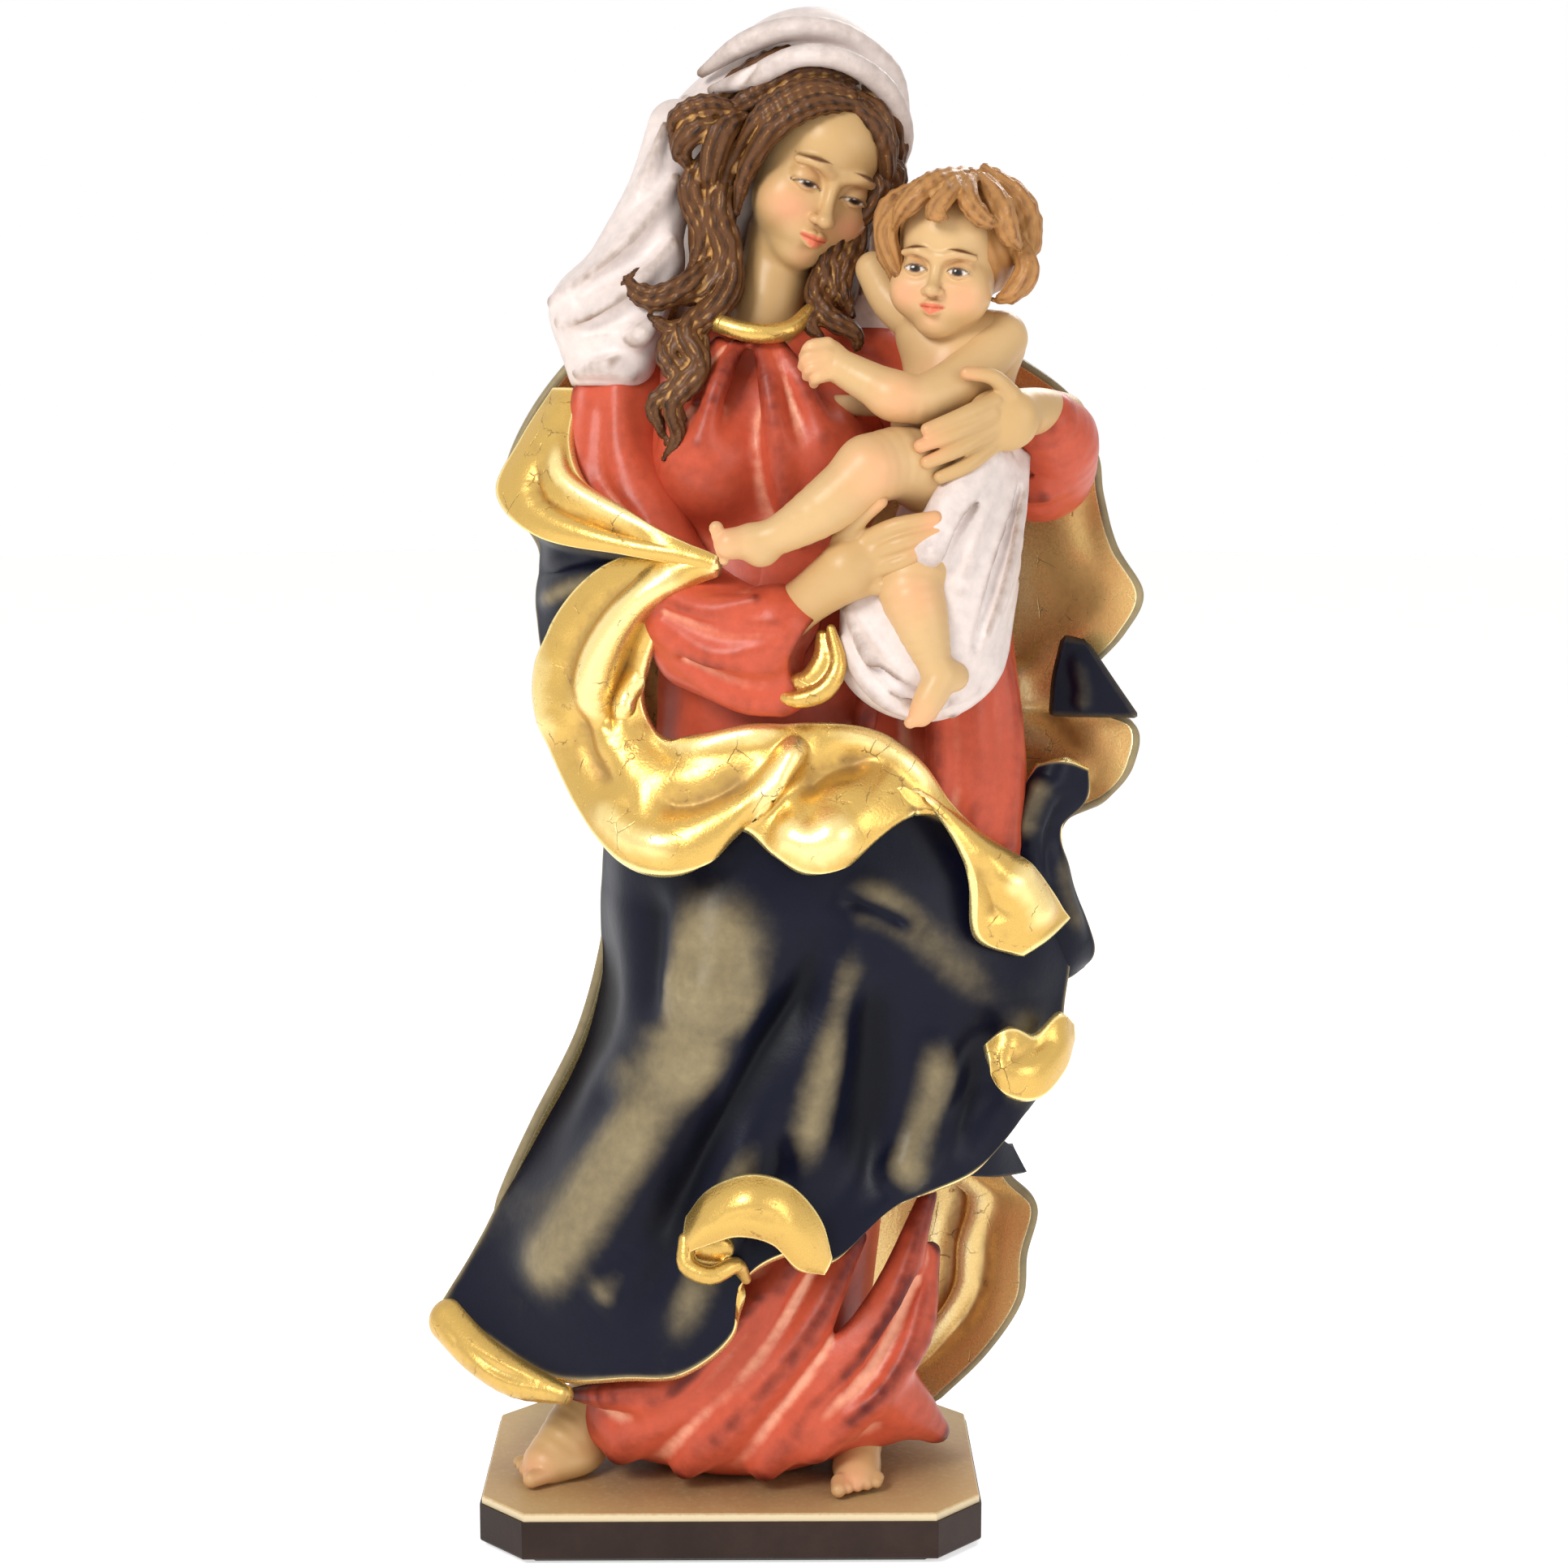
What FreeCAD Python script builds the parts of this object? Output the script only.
import FreeCAD, Part
import Sketcher
import math
import os

V = FreeCAD.Vector
OUT_FOLDER = "parts"
CURVE_POINTS = 17
LOCK_POINTS = 5

# Driving dimensions in millimetres and degrees. X runs to the viewer's right, Y to the back, Z up.
# Heights named *_height are measured from the top of the ground plate unless a comment says otherwise.
SIZES = {
    # Base: felt, plinth and ground plate share one outline with cut corners.
    "plinth_width": 99.0, "plinth_depth": 64.0, "plinth_thick": 7.8,
    "corner_width": 9.0, "corner_depth": 9.5, "plinth_round": 0.8,
    "felt_thick": 1.0, "felt_inset": 2.5,
    "plate_thick": 1.6, "plate_inset": 0.4, "plate_bevel": 0.3,
    # Two countersunk screws come up through the plinth into the skirt.
    "screw_shank": 3.5, "screw_head": 7.0, "screw_head_depth": 2.2, "screw_bite": 14.0,
    "screw_spacing": 36.0, "screw_clearance": 0.25,
    # Gown stations: half width, half depth, sideways sway and lean of the body at each height.
    "hem_half_width": 33.0, "hem_half_depth": 19.5, "hem_sway": 4.0, "hem_lean": 1.0,
    "knee_height": 85.0, "knee_half_width": 29.0, "knee_half_depth": 19.0, "knee_sway": 12.0, "knee_lean": 1.0,
    "hip_height": 138.0, "hip_half_width": 30.0, "hip_half_depth": 18.5, "hip_sway": 17.0, "hip_lean": 1.0,
    "waist_height": 178.0, "waist_half_width": 22.0, "waist_half_depth": 15.5, "waist_sway": 12.0,
    "waist_lean": 1.0,
    "chest_height": 206.0, "chest_half_width": 23.5, "chest_half_depth": 17.0, "chest_sway": 6.5,
    "chest_lean": -0.5,
    "shoulder_height": 221.0, "shoulder_half_width": 22.0, "shoulder_half_depth": 12.5, "shoulder_sway": 4.5,
    "shoulder_lean": 2.0,
    "collar_height": 230.0, "collar_half_width": 10.0, "collar_half_depth": 9.0, "collar_sway": 6.0,
    "collar_lean": 0.5,
    "collar_band_wall": 1.2, "collar_band_tall": 3.2, "collar_band_tilt": 18.0,
    # Madonna's head: an egg on a leaning neck.
    "neck_radius": 6.4, "neck_tall": 15.0, "neck_shift": 5.0,
    "head_half_width": 12.6, "head_half_depth": 14.0, "head_half_tall": 17.5, "head_roll": 16.0,
    "head_shift": 9.5, "head_front": 2.0, "head_lift": 20.2,
    "nose_radius": 1.7, "nose_long": 8.0,
    "neck_dowel_radius": 2.0, "neck_dowel_long": 22.0, "dowel_clearance": 0.05,
    # Hair and veil are shells round the head.
    "hair_thick": 2.6, "veil_thick": 3.0, "veil_gap": 0.2, "veil_rise": 1.5,
    "lock_radius": 4.6, "lock_long": 46.0, "lock_wave": 2.2,
    "veil_fall_thick": 4.0, "veil_fall_long": 56.0, "veil_fall_flare": 13.0,
    # Arms: radii along each sleeve, and where the elbow and wrist are from the shoulder.
    "arm_radius": 9.0, "elbow_radius": 9.5, "cuff_radius": 8.6,
    "right_upper_drop": 34.0, "right_upper_out": 4.0, "right_upper_front": 5.0,
    "right_fore_in": 37.0, "right_fore_front": 23.0, "right_fore_drop": 6.0,
    "left_upper_drop": 26.0, "left_upper_out": 26.0, "left_upper_front": 5.0,
    "left_fore_in": 3.0, "left_fore_front": 12.0, "left_fore_rise": 10.0,
    # Hands and feet.
    "wrist_radius": 4.2, "palm_long": 13.0, "palm_wide": 11.5, "palm_thick": 5.0,
    "finger_radius": 1.45, "finger_long": 13.5, "finger_gap": 0.15, "thumb_long": 11.0,
    "wrist_pin_radius": 1.2, "wrist_pin_long": 12.0,
    "foot_long": 27.0, "foot_wide": 12.5, "foot_tall": 9.0, "foot_turn": 22.0,
    # Mantle sheets.
    "link_step": 0.02, "sheet_thick": 2.4, "mantle_gap": 0.3, "mantle_fold": 1.6, "mantle_top_drop": 4.0,
    "right_arm_room": 18.0, "left_arm_room": 44.0,
    "apron_top_height": 134.0, "apron_low_height": 44.0, "apron_slope": 0.36,
    "apron_flare": 36.0, "apron_fold": 2.2,
    "turnover_thick": 3.4, "turnover_tall": 26.0, "turnover_fold": 2.4, "turnover_slope": 0.2,
    "wing_reach": 16.0, "wing_tall": 30.0,
    "fall_reach": 30.0, "fall_top_height": 205.0, "fall_low_height": 94.0,
    "tail_reach": 22.0, "tail_top_height": 62.0, "tail_low_height": 10.0,
    "curl_radius": 4.6, "curl_long": 17.0,
    "corner_roll_radius": 5.0, "corner_roll_long": 27.0,
    # Child, placed from the bodice.
    "child_half_width": 12.0, "child_half_depth": 9.0, "child_half_tall": 15.5,
    "child_out": 36.0, "child_front": 19.5, "child_height": 208.0,
    "child_head_width": 12.0, "child_head_depth": 12.6, "child_head_tall": 14.0, "child_head_lift": 35.0,
    "child_hair_thick": 1.8, "child_nose": 1.5,
    "child_arm_radius": 4.6, "child_wrist_radius": 2.9, "child_upper_arm": 19.0, "child_fore_arm": 14.0,
    "child_thigh_radius": 7.0, "child_knee_radius": 5.4, "child_ankle_radius": 3.4,
    "child_thigh_long": 21.0, "child_shin_long": 25.0, "child_foot_long": 10.5, "child_foot_radius": 3.1,
    "cloth_thick": 2.0, "cloth_drop": 30.0,
    "child_dowel_radius": 2.0, "child_dowel_long": 20.0,
}

doc = FreeCAD.newDocument("madonna_statue")
sheet = doc.addObject("Spreadsheet::Sheet", "sizes")
for row, (alias, value) in enumerate(SIZES.items(), start=1):
    sheet.set(f"A{row}", alias)
    sheet.set(f"B{row}", str(value))
    sheet.setAlias(f"B{row}", alias)
doc.recompute()

subparts = []


def size(alias):
    """The value of one driving dimension, read from the sheet."""
    return float(getattr(sheet, alias))


def keep(shape_object, name):
    """Marks an object as a sub-part whose Label names its file."""
    shape_object.Label = name
    subparts.append(shape_object)
    return shape_object


def keep_shape(shape, name):
    """A sub-part made with Part's own functions."""
    feature = doc.addObject("Part::Feature", name)
    feature.Shape = shape
    return keep(feature, name)


def ground():
    """Height of the plate's top, on which the figure stands."""
    return size("felt_thick") + size("plinth_thick") + size("plate_thick")


# ---------------------------------------------------------------- base

def octagon_sketch(body, name, inset, level):
    """A sketch of the base outline, drawn in by inset and lifted to level, both expressions."""
    sketch = body.newObject("Sketcher::SketchObject", name)
    plane = next(f for f in body.Origin.OriginFeatures if f.Role == "XY_Plane")
    sketch.AttachmentSupport = [(plane, "")]
    sketch.MapMode = "FlatFace"
    half_w, half_d = size("plinth_width") / 2, size("plinth_depth") / 2
    cut_w, cut_d = size("corner_width"), size("corner_depth")
    outline = [
        V(half_w, -half_d + cut_d), V(half_w, half_d - cut_d), V(half_w - cut_w, half_d),
        V(-half_w + cut_w, half_d), V(-half_w, half_d - cut_d), V(-half_w, -half_d + cut_d),
        V(-half_w + cut_w, -half_d), V(half_w - cut_w, -half_d),
    ]
    for start, end in zip(outline, outline[1:] + outline[:1]):
        sketch.addGeometry(Part.LineSegment(start, end))
    corners = len(outline)
    for i in range(corners):
        sketch.addConstraint(Sketcher.Constraint("Coincident", i, 2, (i + 1) % corners, 1))
    across_x, across_y = -1, -2
    for first, second, axis in ((0, 1, across_x), (0, 5, across_y), (1, 4, across_y), (2, 3, across_y),
                                (2, 7, across_x), (3, 6, across_x)):
        sketch.addConstraint(Sketcher.Constraint("Symmetric", first, 1, second, 1, axis))
    wide = sketch.addConstraint(Sketcher.Constraint("DistanceX", 5, 1, 0, 1, 2 * half_w))
    deep = sketch.addConstraint(Sketcher.Constraint("DistanceY", 7, 1, 2, 1, 2 * half_d))
    nib_w = sketch.addConstraint(Sketcher.Constraint("DistanceX", 2, 1, 1, 1, cut_w))
    nib_d = sketch.addConstraint(Sketcher.Constraint("DistanceY", 1, 1, 2, 1, cut_d))
    sketch.setExpression(f"Constraints[{wide}]", f"sizes.plinth_width - 2 * ({inset})")
    sketch.setExpression(f"Constraints[{deep}]", f"sizes.plinth_depth - 2 * ({inset})")
    sketch.setExpression(f"Constraints[{nib_w}]", "sizes.corner_width")
    sketch.setExpression(f"Constraints[{nib_d}]", "sizes.corner_depth")
    sketch.setExpression("AttachmentOffset.Base.z", level)
    return sketch


def slab(name, inset, level, thick):
    """A body padded up from the base outline."""
    body = doc.addObject("PartDesign::Body", name)
    pad = body.newObject("PartDesign::Pad", name + "_pad")
    pad.Profile = octagon_sketch(body, name + "_outline", inset, level)
    pad.setExpression("Length", thick)
    doc.recompute()
    return body, pad


def edges_at(feature, level):
    """Names of the straight horizontal edges of a feature at one height."""
    found = []
    for i, edge in enumerate(feature.Shape.Edges, start=1):
        ends = [v.Z for v in edge.Vertexes]
        if all(abs(z - level) < 1e-6 for z in ends) and len(ends) == 2:
            found.append(f"Edge{i}")
    return found


def screw_places():
    """The two screw axes, either side of the skirt's own centre."""
    half = size("screw_spacing") / 2
    return [V(size("hem_sway") + side * half, size("hem_lean"), 0) for side in (-1, 1)]


def drill_row(body, name, radius, start, end):
    """Pockets the two screw holes through a slab from start to end height."""
    sketch = body.newObject("Sketcher::SketchObject", name + "_holes")
    plane = next(f for f in body.Origin.OriginFeatures if f.Role == "XY_Plane")
    sketch.AttachmentSupport = [(plane, "")]
    sketch.MapMode = "FlatFace"
    sketch.AttachmentOffset = FreeCAD.Placement(V(0, 0, end), FreeCAD.Rotation())
    for place in screw_places():
        sketch.addGeometry(Part.Circle(place, V(0, 0, 1), radius))
    doc.recompute()
    before = body.Shape.Volume
    pocket = body.newObject("PartDesign::Pocket", name + "_drill")
    pocket.Profile = sketch
    pocket.Length = end - start
    doc.recompute()
    if pocket.Shape.Volume >= before - 1e-3:
        pocket.Reversed = True
        doc.recompute()
    return pocket


def build_base():
    """Felt, plinth, ground plate and the two screws."""
    felt, _ = slab("felt_pad", "sizes.felt_inset", "0", "sizes.felt_thick")
    keep(felt, "felt_pad")

    plinth, pad = slab("plinth", "0", "sizes.felt_thick", "sizes.plinth_thick")
    rounding = plinth.newObject("PartDesign::Fillet", "plinth_rounding")
    rounding.Base = (pad, edges_at(pad, size("felt_thick")))
    rounding.setExpression("Radius", "sizes.plinth_round")
    doc.recompute()
    hole = size("screw_shank") / 2 + size("screw_clearance")
    seat = size("screw_head") / 2 + size("screw_clearance")
    bottom, top = size("felt_thick"), size("felt_thick") + size("plinth_thick")
    drill_row(plinth, "plinth_shank", hole, bottom, top)
    drill_row(plinth, "plinth_head", seat, bottom, bottom + size("screw_head_depth"))
    keep(plinth, "plinth")

    plate, pad = slab(
        "ground_plate", "sizes.plate_inset", "sizes.felt_thick + sizes.plinth_thick", "sizes.plate_thick"
    )
    bevel = plate.newObject("PartDesign::Chamfer", "plate_edge")
    bevel.Base = (pad, edges_at(pad, ground()))
    bevel.setExpression("Size", "sizes.plate_bevel")
    doc.recompute()
    drill_row(plate, "plate_shank", hole, top, ground())
    keep(plate, "ground_plate")

    screws = []
    for place in screw_places():
        base = place + V(0, 0, bottom)
        head = Part.makeCylinder(size("screw_head") / 2, size("screw_head_depth"), base)
        shank = Part.makeCylinder(size("screw_shank") / 2, ground() - bottom + size("screw_bite"), base)
        slot = Part.makeBox(size("screw_head"), 1.0, 0.8, base + V(-size("screw_head") / 2, -0.5, 0))
        screws.append(head.fuse(shank).cut(slot).removeSplitter())
    placed["base_screws"] = Part.makeCompound(screws)
    keep_shape(placed["base_screws"], "base_screws")


# ---------------------------------------------------------------- shapes

STATIONS = ("hem", "knee", "hip", "waist", "chest", "shoulder", "collar")


def station(name):
    """(height, x, y, half width, half depth) of the gown at one named level."""
    height = 0.0 if name == "hem" else size(f"{name}_height")
    return (height, size(f"{name}_sway"), size(f"{name}_lean"), size(f"{name}_half_width"),
            size(f"{name}_half_depth"))


def body_at(height):
    """The gown's ellipse at any height, between its stations."""
    rows = [station(name) for name in STATIONS]
    height = min(max(height, rows[0][0]), rows[-1][0])
    for low, high in zip(rows, rows[1:]):
        if height <= high[0]:
            t = (height - low[0]) / (high[0] - low[0])
            return tuple(a + t * (b - a) for a, b in zip(low, high))
    return rows[-1]


def gown_loft(name, levels):
    """A loft through ellipses at the named stations, bound to the sheet."""
    rings = []
    for level in levels:
        ring = doc.addObject("Part::Ellipse", f"{name}_{level}_ring")
        ring.setExpression("MajorRadius", f"sizes.{level}_half_width")
        ring.setExpression("MinorRadius", f"sizes.{level}_half_depth")
        rise = "0" if level == "hem" else f"sizes.{level}_height"
        ring.setExpression("Placement.Base.x", f"sizes.{level}_sway")
        ring.setExpression("Placement.Base.y", f"sizes.{level}_lean")
        ring.setExpression(
            "Placement.Base.z", f"sizes.felt_thick + sizes.plinth_thick + sizes.plate_thick + {rise}"
        )
        rings.append(ring)
    loft = doc.addObject("Part::Loft", f"{name}_loft")
    loft.Sections = rings
    loft.Solid = True
    loft.Ruled = False
    doc.recompute()
    return loft.Shape.copy()


def link(start, start_radius, end, end_radius):
    """Two balls and the cone that is tangent to both, turned as one solid."""
    along = end - start
    slope = (start_radius - end_radius) / along.Length
    flat = math.sqrt(1 - slope * slope)
    profile = []
    for centre, radius, first, last in (
        (0.0, start_radius, -math.pi / 2, math.asin(slope)),
        (along.Length, end_radius, math.asin(slope), math.pi / 2),
    ):
        middle = (first + last) / 2
        points = [V(radius * math.cos(a), 0, centre + radius * math.sin(a)) for a in (first, middle, last)]
        profile.append(Part.Arc(*points).toShape())
    side_low = V(start_radius * flat, 0, start_radius * slope)
    side_high = V(end_radius * flat, 0, along.Length + end_radius * slope)
    axis = Part.makeLine(V(0, 0, along.Length + end_radius), V(0, 0, -start_radius))
    wire = Part.Wire([profile[0], Part.makeLine(side_low, side_high), profile[1], axis])
    solid = Part.Face(wire).revolve(V(0, 0, 0), V(0, 0, 1), 360)
    solid.Placement = FreeCAD.Placement(start, FreeCAD.Rotation(V(0, 0, 1), along))
    return solid


def limb(points, radii):
    """A limb of tapering links. Every other link is a hair thinner, so that no two balls coincide."""
    links = []
    for i in range(len(points) - 1):
        trim = 1.0 - size("link_step") * (i % 2)
        links.append(link(points[i], radii[i] * trim, points[i + 1], radii[i + 1] * trim))
    return join(links)


def egg(centre, half_x, half_y, half_z, roll=0.0, turn=0.0):
    """An ellipsoid at centre, rolled sideways and then turned in plan."""
    matrix = FreeCAD.Matrix()
    matrix.scale(half_x, half_y, half_z)
    shape = Part.makeSphere(1.0).transformGeometry(matrix)
    shape.rotate(V(0, 0, 0), V(0, 1, 0), roll)
    shape.rotate(V(0, 0, 0), V(0, 0, 1), turn)
    shape.translate(centre)
    return shape


def join(shapes):
    """One solid from several that overlap."""
    return shapes[0].fuse(shapes[1:]).removeSplitter() if len(shapes) > 1 else shapes[0]


def rod(base, way, radius, length):
    """A cylinder used for a dowel, or for the hole that takes it."""
    return Part.makeCylinder(radius, length, base, way)


def turned_box(centre, low, high, tip=0.0, roll=0.0):
    """A box between two corners about centre, tipped about X and rolled about Y."""
    box = Part.makeBox(high.x - low.x, high.y - low.y, high.z - low.z, low)
    box.rotate(V(0, 0, 0), V(1, 0, 0), tip)
    box.rotate(V(0, 0, 0), V(0, 1, 0), roll)
    box.translate(centre)
    return box


placed = {}


def seat(name, shape, *neighbours):
    """Registers a sub-part, cut back so that it sits against the neighbours already placed."""
    near = [placed[n] for n in neighbours if placed[n].BoundBox.intersect(shape.BoundBox)]
    if near:
        shape = max(shape.cut(near).Solids, key=lambda solid: solid.Volume)
    placed[name] = shape
    keep_shape(shape, name)
    return shape


# ---------------------------------------------------------------- sheets of cloth

def bend(values, t):
    """A smooth value along t through a start, a middle and an end value."""
    start, middle, end = values
    return start * (1 - t) * (1 - 2 * t) + middle * 4 * t * (1 - t) + end * t * (2 * t - 1)


def wrap_wire(row, thick, fold, waves):
    """A closed flat band round the gown: an inner and an outer curve joined by two short ends."""
    height, slope, span, gaps = row
    _, x, y, half_w, half_d = body_at(height)
    inner, outer = [], []
    for i in range(CURVE_POINTS):
        t = i / (CURVE_POINTS - 1)
        angle = math.radians(span[0] + t * (span[1] - span[0]))
        gap = bend(gaps, t) + fold * 0.5 * (1 - math.cos(2 * math.pi * waves * t))
        for grown, points in ((gap, inner), (gap + thick, outer)):
            across = (half_w + grown) * math.cos(angle)
            points.append(V(x + across, y + (half_d + grown) * math.sin(angle),
                            ground() + height + slope * across))
    curves = []
    for points in (inner, outer[::-1]):
        curve = Part.BSplineCurve()
        curve.interpolate(points)
        curves.append(curve.toShape())
    return Part.Wire([curves[0], Part.makeLine(inner[-1], outer[-1]), curves[1],
                      Part.makeLine(outer[0], inner[0])])


def wrap_sheet(rows, thick, fold=0.0, waves=0):
    """A sheet lofted through bands. Each row holds a height, a sideways slope, two plan angles and gaps."""
    return Part.makeLoft([wrap_wire(row, thick, fold, waves) for row in rows], True, False)


# ---------------------------------------------------------------- sub-assemblies

def build_gown():
    """Skirt and bodice meet at the waist. The skirt takes the base screws, the bodice the dowels."""
    skirt = gown_loft("gown_skirt", STATIONS[:4])
    seat("gown_skirt", skirt.cut(placed["base_screws"]))
    bodice = gown_loft("gown_bodice", STATIONS[3:])
    holes = [place_dowel("neck_dowel", *neck_dowel_line())]
    holes += [rod(start, way, size("child_dowel_radius") + size("dowel_clearance"), size("child_dowel_long"))
              for start, way in child_dowel_lines()]
    seat("gown_bodice", bodice.cut(holes))


def collar_point():
    """Where the neck comes out of the gown."""
    return V(size("collar_sway"), size("collar_lean"), ground() + size("collar_height"))


def head_point():
    """Centre of the head."""
    return collar_point() + V(size("head_shift"), -size("head_front"), size("neck_tall") + size("head_lift"))


def neck_dowel_line():
    """Start and direction of the dowel that ties head to bodice."""
    return collar_point() - V(0, 0, size("neck_dowel_long") / 2), V(0, 0, 1)


def place_dowel(name, start, way):
    """Registers one dowel and hands back the hole that takes it."""
    radius, length = size(name + "_radius"), size(name + "_long")
    seat(name, rod(start, way, radius, length))
    return rod(start, way, radius + size("dowel_clearance"), length)


def build_head():
    """Head and neck in one piece, its hair, and the band at the collar."""
    collar, centre, roll = collar_point(), head_point(), size("head_roll")
    wide, deep, tall = size("head_half_width"), size("head_half_depth"), size("head_half_tall")
    neck_top = collar + V(size("neck_shift"), -1.0, size("neck_tall"))
    skull = egg(centre, wide, deep, tall, roll)
    neck = limb([collar - V(0, 0, 4), neck_top, centre - V(0, 0, 4)], [size("neck_radius")] * 3)
    nose_root = centre + V(0, -deep + size("nose_radius") * 0.4, 0)
    nose = link(nose_root, size("nose_radius") * 0.6, nose_root + V(-2.0, -0.6, -size("nose_long")),
                size("nose_radius"))
    start, way = neck_dowel_line()
    hole = rod(start, way, size("neck_dowel_radius") + size("dowel_clearance"), size("neck_dowel_long"))
    seat("madonna_head", join([skull, neck, nose]).cut(hole), "gown_bodice")

    band_foot = collar - V(0, 0, size("collar_band_tall") * 0.8)
    ring = Part.makeCylinder(size("collar_half_width") + size("collar_band_wall"), size("collar_band_tall"),
                             band_foot)
    seat("collar_band", ring, "gown_bodice", "madonna_head", "neck_dowel")

    grow = size("hair_thick")
    face_window = turned_box(centre, V(-34, -44, -46), V(26, -4, 14), tip=-14, roll=roll)
    crown = egg(centre, wide + grow, deep + grow, tall + grow, roll).cut(face_window)
    seat("hair_crown", crown, "madonna_head")
    drop, fat = size("lock_long"), size("lock_radius")
    for name, start, fall, sway in (
        ("hair_right_locks", centre + V(-wide - 0.95 * fat, -2, -1), drop, -8.0),
        ("hair_left_locks", centre + V(wide - fat * 0.4, -1, -10), drop * 0.6, -5.0),
    ):
        points, radii = [], []
        for i in range(LOCK_POINTS):
            t = i / (LOCK_POINTS - 1)
            wave = size("lock_wave") * math.sin(2 * math.pi * t)
            points.append(start + V(wave + sway * t, -4 * math.sin(math.pi * t), -fall * t))
            radii.append(fat * (1 - 0.4 * t))
        seat(name, limb(points, radii), "madonna_head", "hair_crown", "gown_bodice", "collar_band",
             "right_sleeve", "left_sleeve")


def sleeve_lines():
    """Shoulder, elbow and wrist of the right and of the left arm."""
    height, x, y, half_w, _ = station("shoulder")
    top = ground() + height - size("arm_radius") * 0.5
    right = [V(x - half_w + size("arm_radius") * 0.55, y, top)]
    right.append(right[0] + V(-size("right_upper_out"), -size("right_upper_front"), -size("right_upper_drop")))
    right.append(right[1] + V(size("right_fore_in"), -size("right_fore_front"), -size("right_fore_drop")))
    left = [V(x + half_w - size("arm_radius") * 0.2, y + 3, top)]
    left.append(left[0] + V(size("left_upper_out"), -size("left_upper_front"), -size("left_upper_drop")))
    left.append(left[1] + V(size("left_fore_in"), -size("left_fore_front"), size("left_fore_rise")))
    return right, left


def hand(wrist, along, spread):
    """A flat hand: palm, four fingers side by side across spread, and a thumb."""
    along, spread = along.normalize(), spread.normalize()
    radius, palm = size("finger_radius"), size("palm_long")
    knuckles = wrist + along * palm
    pitch = radius * 1.8
    pieces = [link(wrist, size("wrist_radius"), wrist + along * palm * 0.5, size("palm_thick") * 0.75)]
    for i in range(4):
        shift = spread * ((i - 1.5) * pitch)
        tip = size("finger_long") * (1.0 - 0.08 * abs(i - 1.6))
        knuckle = knuckles + shift
        pieces.append(link(wrist + along * palm * 0.4 + shift * 0.8, size("palm_thick") * 0.5, knuckle,
                           radius * 1.15))
        pieces.append(link(knuckle, radius * 1.1, knuckle + along * tip, radius))
    thumb = wrist + along * palm * 0.35 + spread * size("palm_wide") * 0.3
    pieces.append(link(thumb, radius * 1.5, thumb + (along * 0.7 + spread * 0.7) * size("thumb_long"), radius * 1.1))
    return join(pieces)


def build_arms():
    """Hands on pins in their cuffs, then the sleeves that take them."""
    lay_child_dowels()
    right, left = sleeve_lines()
    lines = {
        "right_hand": (right[-1] + V(3, -1, 2.5), V(0.84, -0.25, 0.47), V(-0.45, 0.1, 0.85)),
        "left_hand": (left[-1] + V(-4, -2, 1), V(-0.93, -0.35, -0.1), V(-0.1, 0.1, 0.99)),
    }
    pins, holes = [], []
    for wrist, along, _ in lines.values():
        way = V(along).normalize()
        start = wrist - way * (size("wrist_pin_long") / 2)
        pins.append(rod(start, way, size("wrist_pin_radius"), size("wrist_pin_long")))
        holes.append(rod(start, way, size("wrist_pin_radius") + size("dowel_clearance"), size("wrist_pin_long")))
    placed["wrist_pins"] = Part.makeCompound(pins)
    keep_shape(placed["wrist_pins"], "wrist_pins")
    for name, (wrist, along, spread) in lines.items():
        seat(name, hand(wrist, V(along), V(spread)).cut(holes), "gown_bodice", "gown_skirt", "child_dowels")

    arm, elbow, cuff = size("arm_radius"), size("elbow_radius"), size("cuff_radius")
    seat("right_sleeve", limb(right, [arm, elbow, cuff]).cut(holes), "gown_bodice", "gown_skirt", "right_hand")
    seat("left_sleeve", limb(left, [arm, elbow, cuff * 0.85]).cut(holes), "gown_bodice", "gown_skirt",
         "left_hand")
    cuff_low = right[-1] + V(2, -2, -cuff - 1.5)
    lining = limb([cuff_low + V(-9, 2, 1), cuff_low, cuff_low + V(6, -1, 4)], [1.5, 3.0, 1.3])
    seat("cuff_lining", lining, "right_sleeve", "right_hand", "gown_skirt", "gown_bodice")


def child_point():
    """Centre of the child's torso."""
    return V(size("shoulder_sway") + size("child_out"), -size("child_front"), ground() + size("child_height"))


def child_dowel_lines():
    """Start and direction of the two dowels that tie the child to the bodice."""
    way = V(-0.86, 0.5, 0)
    return [(child_point() + V(-4, 1, lift), way) for lift in (-4.0, 5.0)]


def lay_child_dowels():
    """Registers the child's two dowels."""
    dowels = [rod(start, way, size("child_dowel_radius"), size("child_dowel_long"))
              for start, way in child_dowel_lines()]
    placed["child_dowels"] = Part.makeCompound(dowels)
    keep_shape(placed["child_dowels"], "child_dowels")


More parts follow.
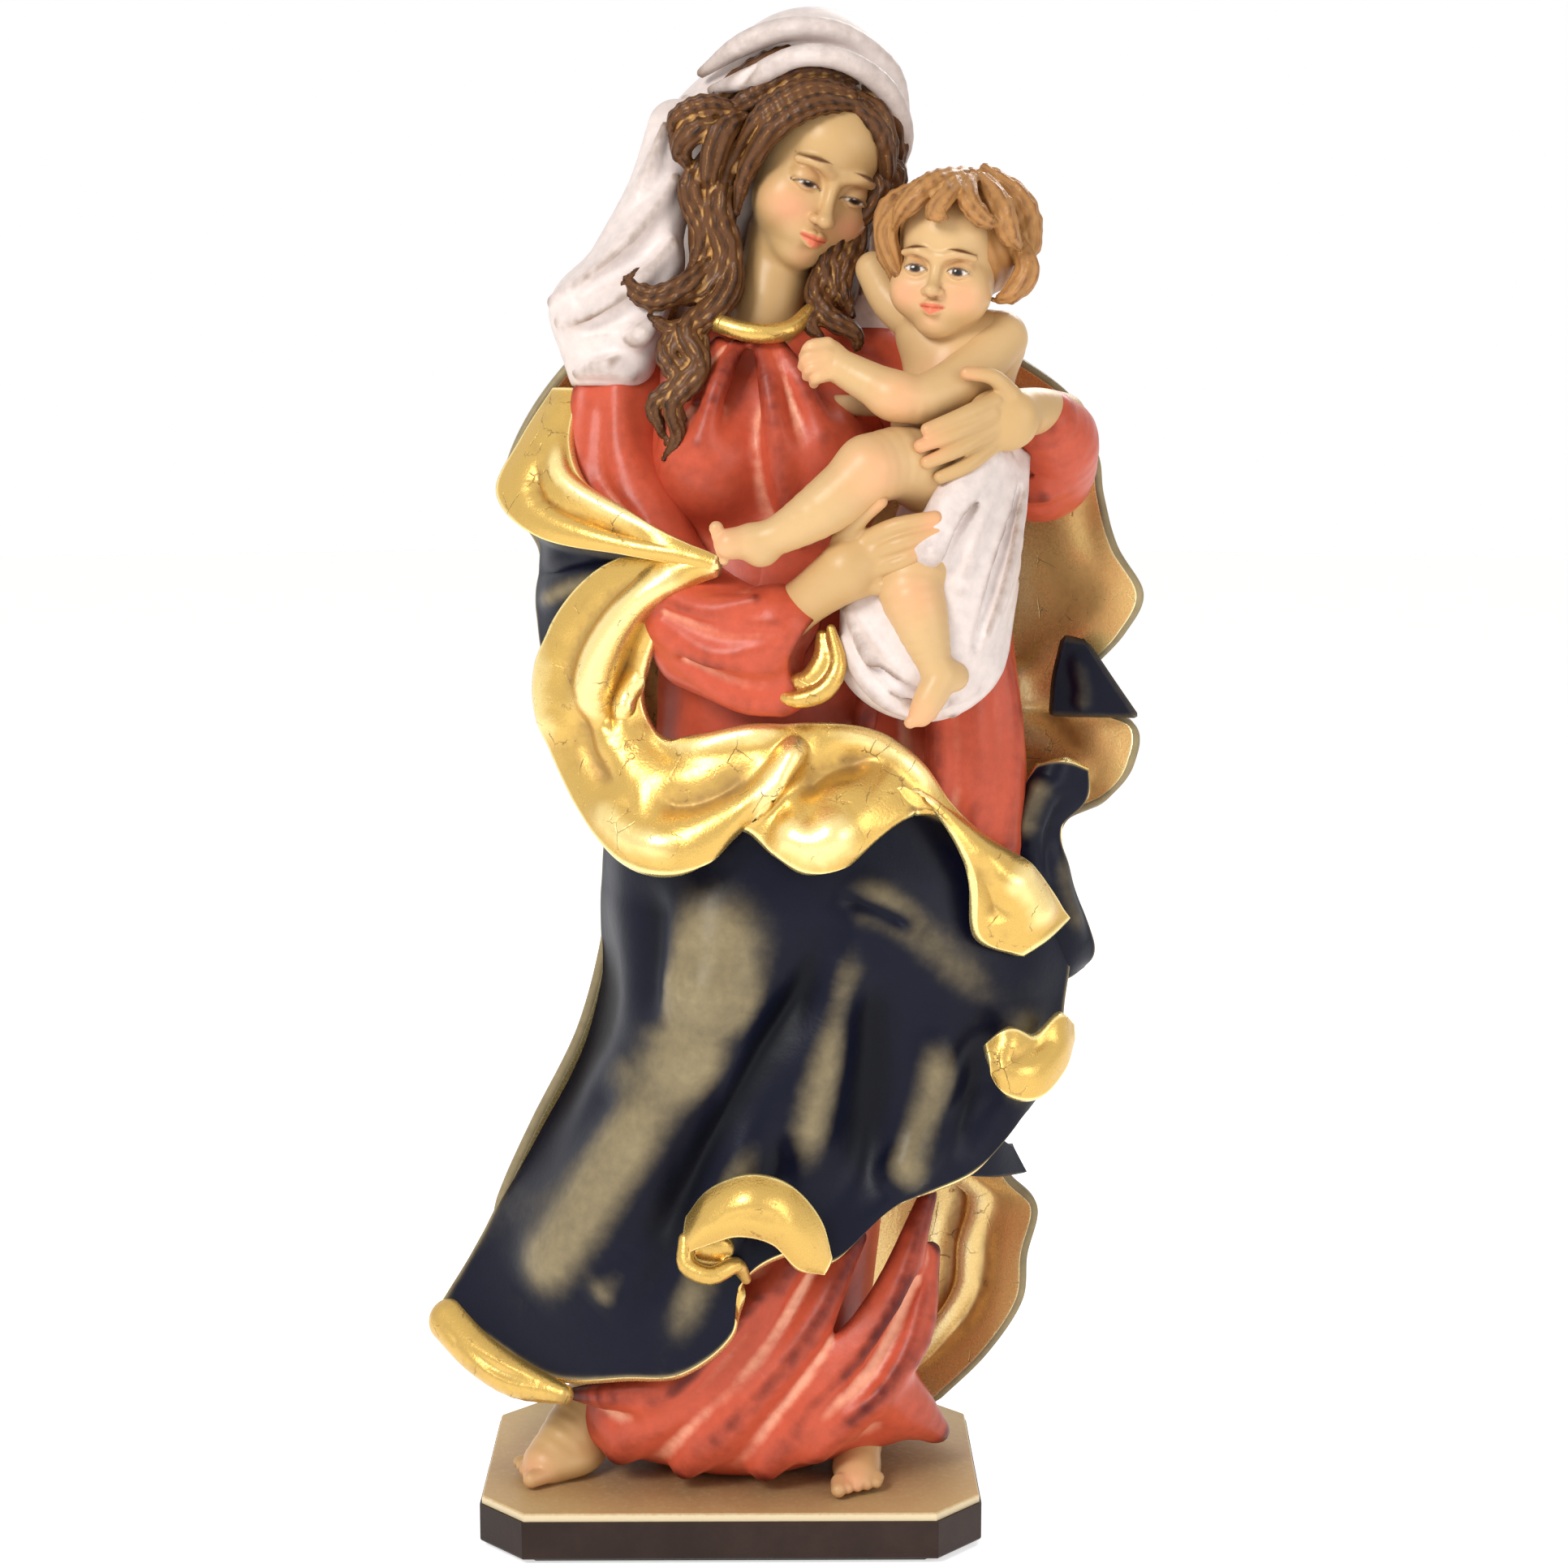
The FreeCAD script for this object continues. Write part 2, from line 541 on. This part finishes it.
def build_child():
    """Torso and limbs, then head, hair and the cloth round the hips."""
    holes = [rod(start, way, size("child_dowel_radius") + size("dowel_clearance"), size("child_dowel_long"))
             for start, way in child_dowel_lines()]
    child = child_point()
    tall = size("child_half_tall")
    trunk = egg(child, size("child_half_width"), size("child_half_depth"), tall, 8)
    neck = link(child + V(1, 0, tall * 0.5), 6.0, child + V(2, 0, tall + 6), 4.6)
    seat("child_torso", join([trunk, neck]).cut(holes), "gown_bodice", "left_hand", "left_sleeve")

    centre = child + V(2.5, 0, size("child_head_lift"))
    wide, deep, high = size("child_head_width"), size("child_head_depth"), size("child_head_tall")
    nose = Part.makeSphere(size("child_nose"), centre + V(-1.5, -deep, -3))
    seat("child_head", join([egg(centre, wide, deep, high), nose]), "child_torso")
    grow = size("child_hair_thick")
    window = turned_box(centre, V(-23, -44, -37), V(17, -4, 4), tip=-18)
    curls = egg(centre, wide + grow, deep + grow, high + grow).cut(window)
    seat("child_hair", curls, "child_head", "child_torso")

    arm, wrist, upper, fore = (size("child_arm_radius"), size("child_wrist_radius"), size("child_upper_arm"),
                               size("child_fore_arm"))
    shoulder = child + V(9, -4, 11)
    elbow = shoulder + V(-upper * 0.95, -8, -7)
    fist = elbow + V(-fore * 0.75, 1.5, fore * 0.6)
    left_arm = join([limb([shoulder, elbow, fist], [arm, arm * 0.9, wrist]),
                     Part.makeSphere(wrist * 1.35, fist + V(-2, 0, 2))])
    seat("child_left_arm", left_arm, "child_torso", "gown_bodice", "child_head")
    shoulder = child + V(-8, 2, 11)
    right_arm = limb([shoulder, shoulder + V(-5, 6, 14)], [arm, wrist])
    seat("child_right_arm", right_arm, "child_torso", "gown_bodice", "child_head", "child_hair",
         "child_dowels")

    thigh, shin, foot = size("child_thigh_long"), size("child_shin_long"), size("child_foot_long")
    radii = [size("child_thigh_radius"), size("child_knee_radius"), size("child_ankle_radius"),
             size("child_foot_radius")]
    hip = child + V(-1, -3, -13)
    knee = hip + V(-thigh * 0.74, -thigh * 0.5, thigh * 0.28)
    ankle = knee + V(-shin * 0.76, shin * 0.1, -shin * 0.5)
    right_leg = limb([hip, knee, ankle, ankle + V(-foot * 0.8, 0, 0.5)], radii)
    seat("child_right_leg", right_leg, "child_torso", "left_hand", "right_hand", "gown_bodice", "gown_skirt",
         "right_sleeve", "child_left_arm")
    hip = child + V(0, -4, -16)
    knee = hip + V(-thigh * 0.3, -thigh * 0.42, -thigh * 0.62)
    ankle = knee + V(shin * 0.18, shin * 0.1, -shin * 0.58)
    left_leg = limb([hip, knee, ankle, ankle + V(-foot * 0.25, -foot * 0.1, -foot * 0.8)], radii)
    seat("child_left_leg", left_leg, "child_torso", "child_right_leg", "left_hand", "right_hand", "gown_skirt",
         "gown_bodice", "right_sleeve", "child_left_arm")
    grow = size("child_half_width") + size("cloth_thick")
    top = child + V(1, 0, -8)
    cloth = limb([top, top + V(-2, 0, -size("cloth_drop") * 0.45), top + V(-7, 1, -size("cloth_drop"))],
                 [grow, grow, grow * 0.75])
    seat("swaddling_cloth", cloth.cut(holes), "child_torso", "child_right_leg", "child_left_leg",
         "child_left_arm", "left_hand", "right_hand", "left_sleeve", "right_sleeve", "gown_bodice",
         "gown_skirt", "cuff_lining")


def build_feet():
    """Bare feet under the hem, soles on the plate."""
    left_x = size("hem_sway") + size("hem_half_width") * 0.62
    right_x = size("hem_sway") - size("hem_half_width") - 6
    long, wide = size("foot_long"), size("foot_wide")
    reach = 2 * size("plinth_width")
    above = Part.makeBox(reach, reach, reach, V(-reach / 2, -reach / 2, ground()))
    front = size("hem_half_depth")
    for name, x, y, turn in (("left_foot", left_x, -front + 4, size("foot_turn") * 0.4),
                             ("right_foot", right_x, -front + 12, -size("foot_turn"))):
        shape = egg(V(x, y, ground()), wide / 2, long / 2, size("foot_tall"), turn=turn)
        seat(name, shape.common(above), "gown_skirt")


def build_mantle():
    """The mantle's sheets, laid on from the gown outwards, then its rolled gilt edges."""
    gap, thick, fold = size("mantle_gap"), size("sheet_thick"), size("mantle_fold")
    knee, hip, waist, chest = (size(f"{name}_height") for name in ("knee", "hip", "waist", "chest"))
    top = size("shoulder_height") - size("mantle_top_drop")
    right_room, left_room = size("right_arm_room"), size("left_arm_room")
    back = wrap_sheet([
        (1.5, 0, (2, 178), (gap + 6, gap, gap)),
        (knee * 0.55, 0, (0, 179), (gap + 10, gap, gap)),
        (knee, 0, (-2, 180), (gap + 14, gap, gap)),
        (hip, 0, (-4, 186), (gap + left_room * 0.8, gap + 1, gap + 4)),
        (waist, 0, (-4, 190), (gap + left_room, gap + 1, gap + right_room)),
        (chest - 6, 0, (4, 188), (gap + left_room * 0.85, gap + 1, gap + right_room)),
        (top, 0, (24, 160), (gap + 12, gap + 2, gap + 6)),
    ], thick, fold, 6)
    seat("mantle_back", back, "gown_skirt", "right_sleeve", "left_sleeve", "gown_bodice", "left_hand",
         "right_foot")

    over = gap + thick + fold + 0.4
    low, high = size("apron_low_height"), size("apron_top_height")
    flare, slope = size("apron_flare"), size("apron_slope")
    rows = []
    for t, side, front, corner in ((0.0, 10.0, 9.0, 1.0), (0.3, 14.0, 10.0, 0.72), (0.6, 20.0, 10.0, 0.4),
                                   (0.85, 22.0, 7.0, 0.15), (1.0, 22.0, 5.0, 0.1)):
        rows.append((low + (high - low) * t, slope * (1 - t), (-8, -181),
                     (over + side, over + front, over + flare * corner)))
    seat("mantle_apron", wrap_sheet(rows, thick, size("apron_fold"), 4), "mantle_back", "gown_skirt")

    out = over + thick + size("mantle_gap")
    tall, curve, heavy = size("turnover_tall"), size("turnover_fold"), size("turnover_thick")
    edge, dip = high - tall * 0.25, size("turnover_slope")
    turnover = wrap_sheet([
        (edge, -dip, (-8, -196), (out + 20, out + 5, out + 2)),
        (edge + tall * 0.5, -dip, (-10, -200), (out + 24, out + 9, out + 6)),
        (edge + tall, -dip, (-12, -204), (out + 22, out + 7, out + 9)),
    ], heavy, curve, 4)
    seat("apron_turnover", turnover, "mantle_back", "mantle_apron", "right_sleeve", "swaddling_cloth",
         "child_left_leg", "gown_skirt", "cuff_lining", "left_sleeve")

    reach, spread = size("wing_reach"), size("wing_tall")
    wing = wrap_sheet([
        (waist - 4, 0, (-132, -188), (8.0, reach, reach + 4)),
        (waist - 4 + spread * 0.5, 0, (-150, -192), (reach * 0.8, reach + 6, reach + 9)),
        (waist - 4 + spread, 0, (-164, -190), (reach * 0.6, reach, reach + 2)),
    ], thick)
    seat("mantle_right_wing", wing, "mantle_back", "right_sleeve", "gown_bodice", "gown_skirt")
    swirl = wrap_sheet([
        (edge + tall * 1.25, 0, (-150, -206), (12.0, reach + 3, reach + 3)),
        ((edge + tall * 1.25 + waist - 5) * 0.5, 0, (-146, -204), (12.0, reach + 7, reach + 7)),
        (waist - 5, 0, (-140, -198), (11.0, reach + 5, reach + 5)),
    ], heavy)
    seat("mantle_right_swirl", swirl, "mantle_back", "right_sleeve", "gown_skirt", "mantle_right_wing",
         "apron_turnover")

    base, roof, far = size("fall_low_height"), size("fall_top_height"), size("fall_reach")
    fall = wrap_sheet([
        (base, 0, (-6, 30), (out + 12, out + far * 0.45, out + 8)),
        (base + (roof - base) * 0.3, 0, (-8, 30), (out + far * 0.5, out + far * 0.75, out + far * 0.45)),
        (base + (roof - base) * 0.6, 0, (-8, 30), (out + far, out + far * 1.05, out + far * 0.6)),
        (base + (roof - base) * 0.8, 0, (-6, 28), (out + far, out + far, out + far * 0.6)),
        (roof, 0, (-2, 26), (out + far * 0.8, out + far * 0.8, out + far * 0.5)),
    ], thick)
    seat("mantle_left_fall", fall, "mantle_back", "apron_turnover", "mantle_apron", "left_sleeve")
    tail_low, tail_top, tail_out = size("tail_low_height"), size("tail_top_height"), size("tail_reach")
    tail = wrap_sheet([
        (tail_low, 0, (-20, 26), (9.0, tail_out * 0.7, 9.0)),
        ((tail_low + tail_top) * 0.5, 0, (-20, 26), (11.0, tail_out, 12.0)),
        (tail_top, 0, (-16, 26), (13.0, tail_out * 1.1, 14.0)),
    ], thick)
    seat("mantle_left_tail", tail, "mantle_back", "mantle_apron", "gown_skirt")

    fat, long = size("curl_radius"), size("curl_long")
    around = ("mantle_apron", "gown_skirt", "mantle_back", "mantle_left_tail", "mantle_left_fall")
    for name, height, angle, grow, way in (
        ("apron_middle_curl", low - 6, -98, over + 10, V(long, -1, 1)),
        ("apron_side_curl", low + slope * size("knee_half_width"), -30, over + 14, V(long * 0.8, 7, 3)),
    ):
        start = rim_point(height, angle, grow) - way * 0.5
        seat(name, limb([start, start + way * 0.5, start + way], [fat * 0.6, fat, fat * 0.55]), *around)
    start = rim_point(low - slope * (size("knee_half_width") + flare), -178, over + flare - 1)
    roll, length = size("corner_roll_radius"), size("corner_roll_long")
    corner = limb([start, start + V(length * 0.5, -4, -2), start + V(length, -10, -5)],
                  [roll, roll * 0.8, roll * 0.35])
    seat("apron_corner_roll", corner, "mantle_apron", "gown_skirt", "mantle_back", "right_foot")


def rim_point(height, degrees, gap):
    """A point outside the gown at one height and plan angle."""
    _, x, y, half_w, half_d = body_at(height)
    angle = math.radians(degrees)
    return V(x + (half_w + gap) * math.cos(angle), y + (half_d + gap) * math.sin(angle), ground() + height)


def build_veil():
    """The veil: a hood over the crown of hair and a fall at each side."""
    centre, roll = head_point(), size("head_roll")
    inner = size("hair_thick") + size("veil_gap")
    outer = inner + size("veil_thick")
    wide, deep, tall = size("head_half_width"), size("head_half_depth"), size("head_half_tall")
    hood = egg(centre + V(0, size("veil_rise"), size("veil_rise")), wide + outer, deep + outer, tall + outer,
               roll)
    hollow = egg(centre, wide + inner, deep + inner, tall + inner, roll)
    front = turned_box(centre, V(-40, -63, -56), V(40, -3, 14), tip=8)
    under = turned_box(centre, V(-40, -40, -52), V(40, 40, -12))
    seat("veil_hood", hood.cut([hollow, front, under]), "hair_right_locks", "hair_left_locks")
    long, flare, fat = size("veil_fall_long"), size("veil_fall_flare"), size("veil_fall_thick")
    around = ("veil_hood", "hair_crown", "hair_right_locks", "hair_left_locks", "madonna_head", "mantle_back",
              "gown_bodice", "right_sleeve", "left_sleeve", "collar_band", "child_hair", "child_head",
              "child_right_arm", "mantle_right_wing")
    start = centre + V(-wide - outer * 0.8, 7, -1)
    right_fall = limb([start, start + V(-flare * 0.5, 0, -0.3 * long), start + V(-flare, -2, -0.62 * long),
                       start + V(-flare * 0.8, -2, -0.8 * long)], [fat, fat * 1.4, fat * 2.1, fat * 2.2])
    seat("veil_right_fall", right_fall, *around)
    start = centre + V(wide + 3, 8, -5)
    left_fall = limb([start, start + V(0, 1, -0.3 * long), start + V(1, 1, -0.55 * long)],
                     [fat, fat * 1.25, fat])
    seat("veil_left_fall", left_fall, *around)


def write_out():
    """Checks every object and writes one STEP file for each sub-part."""
    doc.recompute()
    faults = [o.Name for o in doc.Objects if any(word in o.State for word in ("Invalid", "Error"))]
    if faults:
        raise RuntimeError(f"objects failed to compute: {faults}")
    os.makedirs(OUT_FOLDER, exist_ok=True)
    for part in subparts:
        if part.Shape.isNull() or not part.Shape.isValid() or not part.Shape.Solids:
            raise RuntimeError(f"{part.Label} has no valid solid")
        part.Shape.exportStep(os.path.join(OUT_FOLDER, part.Label + ".step"))


build_base()
build_gown()
build_arms()
build_child()
build_head()
build_feet()
build_mantle()
build_veil()
write_out()
